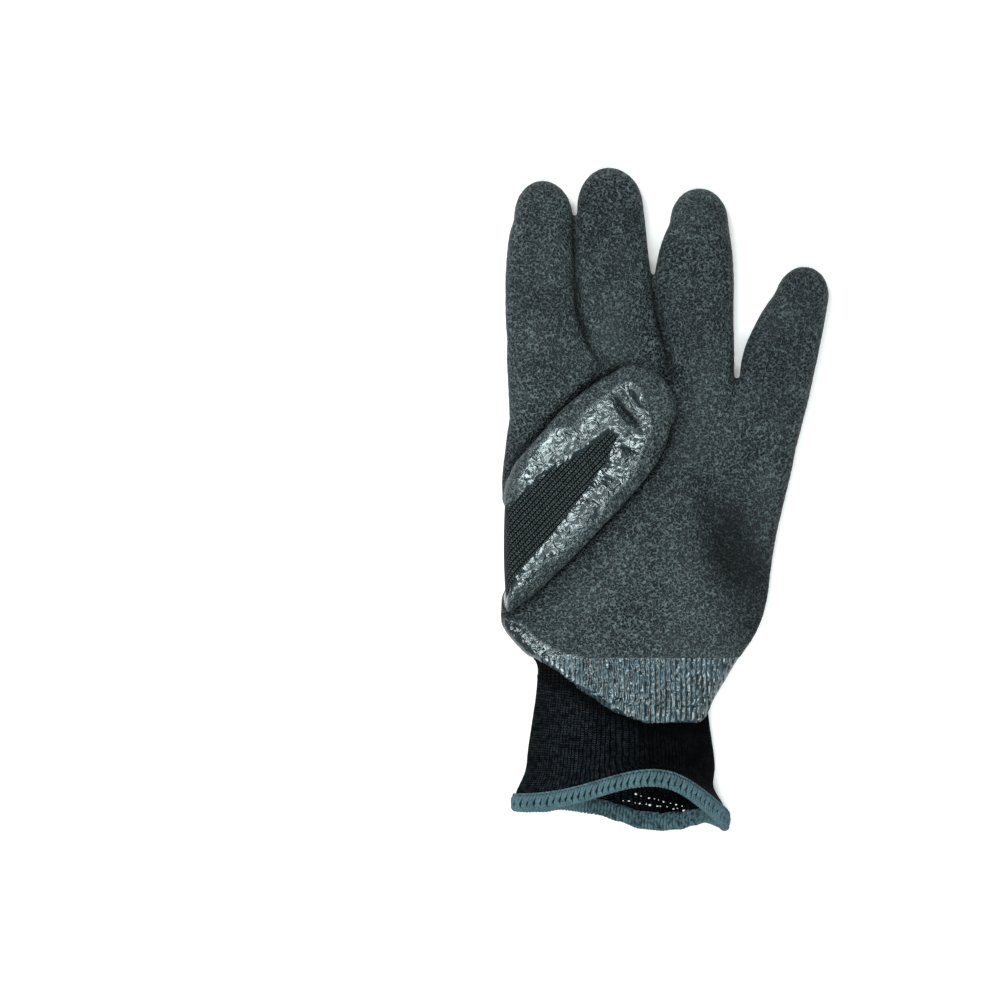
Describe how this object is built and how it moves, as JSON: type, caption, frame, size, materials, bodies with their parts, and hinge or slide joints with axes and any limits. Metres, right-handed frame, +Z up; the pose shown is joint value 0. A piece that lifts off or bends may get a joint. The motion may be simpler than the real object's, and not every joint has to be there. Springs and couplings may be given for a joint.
{
  "type": "latex coated grip glove",
  "caption": "Knitted left-hand work glove, palm and fingertips dipped in crinkled black latex, elastic cuff with a sewn hem, lying palm up with the thumb folded over the palm.",
  "frame": {"origin": "on the surface that the glove lies on, under the middle of its outline seen from above", "axes": "+Z up out of the palm, +Y from the cuff's mouth to the fingertips, +X across the palm from the thumb's fold to the little finger"},
  "size_m": [0.121, 0.2462, 0.0264],
  "materials": {
    "hand_knit": "seamless knitted polyester, near black, matt",
    "cuff_knit": "fine elastic rib knit, near black, matt",
    "crinkle_latex": "dipped natural latex with a crinkle finish, charcoal, glossy where the dip ends",
    "hem_yarn": "overlocked bulky yarn, slate teal"
  },
  "bodies": {
    "root": {"knit_palm": "hand_knit", "knit_index": "hand_knit", "knit_middle": "hand_knit", "knit_ring": "hand_knit", "knit_little": "hand_knit", "knit_thumb": "hand_knit", "knit_cuff": "cuff_knit", "latex_coat": "crinkle_latex", "hem_overlock": "hem_yarn"}
  },
  "joints": []
}
